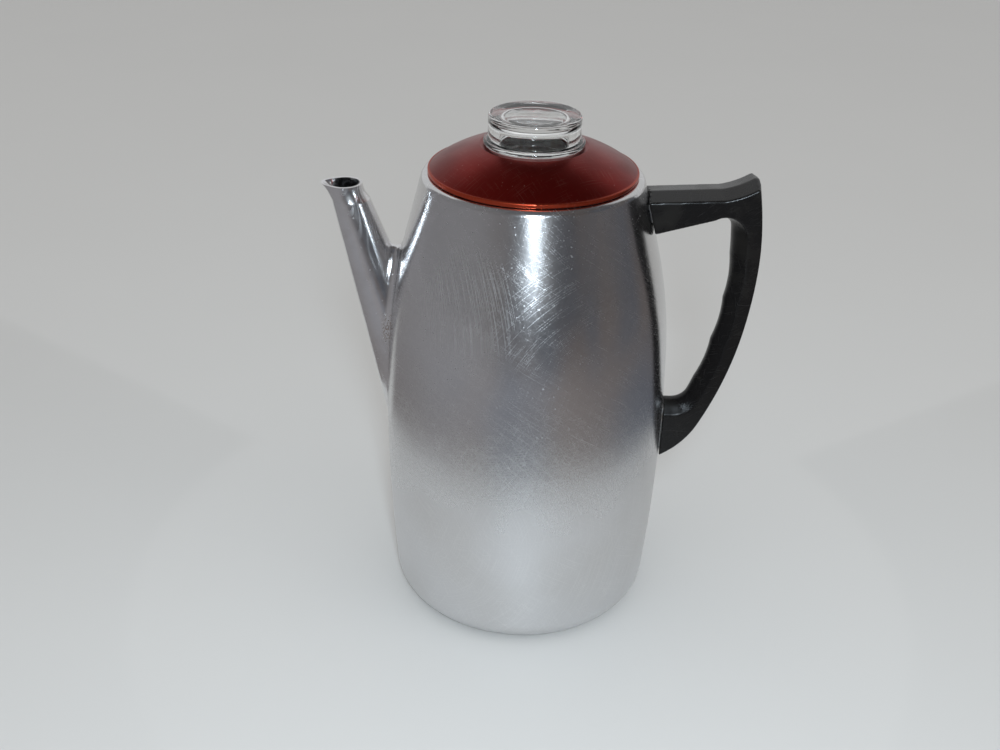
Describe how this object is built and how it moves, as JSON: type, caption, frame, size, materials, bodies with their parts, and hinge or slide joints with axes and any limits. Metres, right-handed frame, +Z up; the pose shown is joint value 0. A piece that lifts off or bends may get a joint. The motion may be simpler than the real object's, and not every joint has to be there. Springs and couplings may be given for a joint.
{
  "type": "stovetop percolator",
  "caption": "Stovetop coffee percolator: aluminium vessel with a welded spout, lift-off lid, glass sight knob, pump tube, basket and a phenolic handle.",
  "frame": {"origin": "centre of the vessel's flat base", "axes": "+Z up along the vessel's axis, spout towards -X, handle towards +X"},
  "size_m": [0.2006, 0.136, 0.2466],
  "materials": {
    "polished_aluminium": "polished with fine swirl scratches",
    "spout_aluminium": "polished",
    "plain_aluminium": "plain satin",
    "rivet_aluminium": "plain",
    "black_phenolic": "glossy moulded phenolic",
    "screw_steel": "plated steel",
    "red_anodised": "dark red anodised, satin gloss",
    "knob_glass": "clear pressed glass",
    "basket_aluminium": "satin sheet"
  },
  "bodies": {
    "pot": {"vessel": "polished_aluminium", "spout": "spout_aluminium", "upper_handle_bracket": "plain_aluminium", "lower_handle_bracket": "plain_aluminium", "upper_bracket_rivets": "rivet_aluminium", "lower_bracket_rivets": "rivet_aluminium", "handle": "black_phenolic", "upper_handle_screw": "screw_steel", "lower_handle_screw": "screw_steel", "handle_screw_washers": "screw_steel"},
    "pump": {"pump_tube": "plain_aluminium", "pump_bell": "plain_aluminium", "valve_seat": "plain_aluminium", "basket_stop": "plain_aluminium"},
    "washer": {"valve_washer": "plain_aluminium"},
    "basket": {"basket_shell": "basket_aluminium", "basket_hub": "basket_aluminium"},
    "spreader": {"spreader_plate": "basket_aluminium", "spreader_collar": "basket_aluminium"},
    "lid": {"lid_shell": "red_anodised", "lid_collar": "plain_aluminium"},
    "knob": {"glass_knob": "knob_glass"}
  },
  "joints": [
    {"name": "pump_lift", "type": "slide", "parent": "pot", "child": "pump", "axis": [0, 0, 1], "range_m": [0, 0.235]},
    {"name": "washer_float", "type": "slide", "parent": "pump", "child": "washer", "axis": [0, 0, 1], "range_m": [0, 0.002]},
    {"name": "basket_lift", "type": "slide", "parent": "pump", "child": "basket", "axis": [0, 0, 1], "range_m": [0, 0.1]},
    {"name": "spreader_lift", "type": "slide", "parent": "basket", "child": "spreader", "axis": [0, 0, 1], "range_m": [0, 0.04]},
    {"name": "lid_lift", "type": "slide", "parent": "spreader", "child": "lid", "axis": [0, 0, 1], "range_m": [0, 0.08]},
    {"name": "knob_twist", "type": "hinge", "parent": "lid", "child": "knob", "pos_m": [0, 0, 0.235], "axis": [0, 0, 1], "range_deg": [0, 90]}
  ]
}
